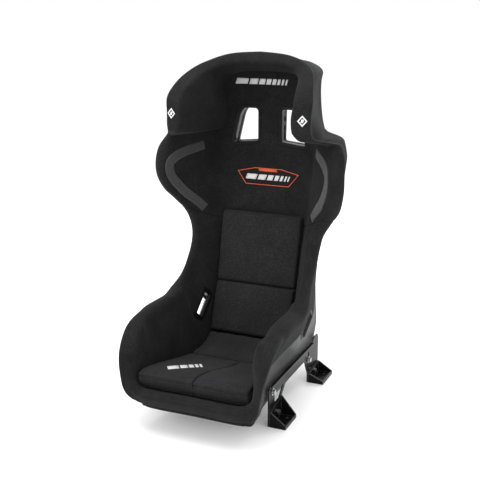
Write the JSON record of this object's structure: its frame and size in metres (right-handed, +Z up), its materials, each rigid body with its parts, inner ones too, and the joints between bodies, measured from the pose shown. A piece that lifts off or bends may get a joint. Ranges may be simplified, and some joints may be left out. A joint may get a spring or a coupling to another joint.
{
  "type": "racing seat",
  "caption": "Full-containment motorsport bucket seat: carbon shell, padded wings and bolsters, loose cushions, belt slots, side brackets with feet.",
  "frame": {"origin": "under the middle of the seat, on the plane the feet rest on", "axes": "+Z up; -Y the way the sitter faces; +X the sitter's left; x = 0 is the seat's middle plane"},
  "size_m": [0.5512, 0.5909, 0.9447],
  "materials": {
    "cover_fabric": "soft brushed knit",
    "cushion_fabric": "fine woven",
    "grip_fabric": "coarse herringbone weave",
    "carbon": "gloss lacquer over twill",
    "moulding": "satin",
    "bracket_gloss": "gloss lacquer",
    "bolt_steel": "zinc plated",
    "badge": "moulded rubberised patch"
  },
  "bodies": {
    "mounts": {"side_bracket_left": "bracket_gloss", "side_bracket_right": "bracket_gloss", "front_foot_left": "bracket_gloss", "front_foot_right": "bracket_gloss", "rear_foot_left": "bracket_gloss", "rear_foot_right": "bracket_gloss", "front_foot_bolt_left": "bolt_steel", "front_foot_bolt_right": "bolt_steel", "front_foot_nut_left": "bolt_steel", "front_foot_nut_right": "bolt_steel", "rear_foot_bolt_left": "bolt_steel", "rear_foot_bolt_right": "bolt_steel", "rear_foot_nut_left": "bolt_steel", "rear_foot_nut_right": "bolt_steel"},
    "seat": {"side_bolster_left": "cover_fabric", "side_bolster_right": "cover_fabric", "shoulder_pad_left": "cover_fabric", "shoulder_pad_right": "cover_fabric", "head_wing_pad_left": "cover_fabric", "head_wing_pad_right": "cover_fabric", "pan_front_roll": "cover_fabric", "head_top_roll": "cover_fabric", "pan_liner": "cover_fabric", "back_panel_pad": "cover_fabric", "head_centre_pad": "cover_fabric", "seat_base_cushion": "cushion_fabric", "lower_back_cushion": "cushion_fabric", "lumbar_cushion": "cushion_fabric", "thigh_cushion_left": "cushion_fabric", "thigh_cushion_right": "cushion_fabric", "shoulder_slot_bezel_front_left": "moulding", "shoulder_slot_bezel_front_right": "moulding", "shoulder_slot_bezel_rear_left": "moulding", "shoulder_slot_bezel_rear_right": "moulding", "lap_slot_bezel_inner_left": "moulding", "lap_slot_bezel_inner_right": "moulding", "lap_slot_bezel_outer_left": "moulding", "lap_slot_bezel_outer_right": "moulding", "crotch_slot_bezel": "moulding", "pivot_insert_left": "bolt_steel", "pivot_insert_right": "bolt_steel", "pivot_spacer_left": "bolt_steel", "pivot_spacer_right": "bolt_steel", "pivot_washer_left": "bolt_steel", "pivot_washer_right": "bolt_steel", "pivot_bolt_left": "bolt_steel", "pivot_bolt_right": "bolt_steel", "adjuster_insert_left": "bolt_steel", "adjuster_insert_right": "bolt_steel", "adjuster_spacer_left": "bolt_steel", "adjuster_spacer_right": "bolt_steel", "adjuster_washer_left": "bolt_steel", "adjuster_washer_right": "bolt_steel", "adjuster_bolt_left": "bolt_steel", "adjuster_bolt_right": "bolt_steel", "carbon_shell": "carbon", "grip_strip_left": "grip_fabric", "grip_strip_right": "grip_fabric", "back_badge": "badge"}
  },
  "joints": [
    {"name": "tilt", "type": "hinge", "parent": "mounts", "child": "seat", "pos_m": [0, -0.1139, 0.092], "axis": [1, 0, 0], "range_deg": [-3, 3]}
  ]
}
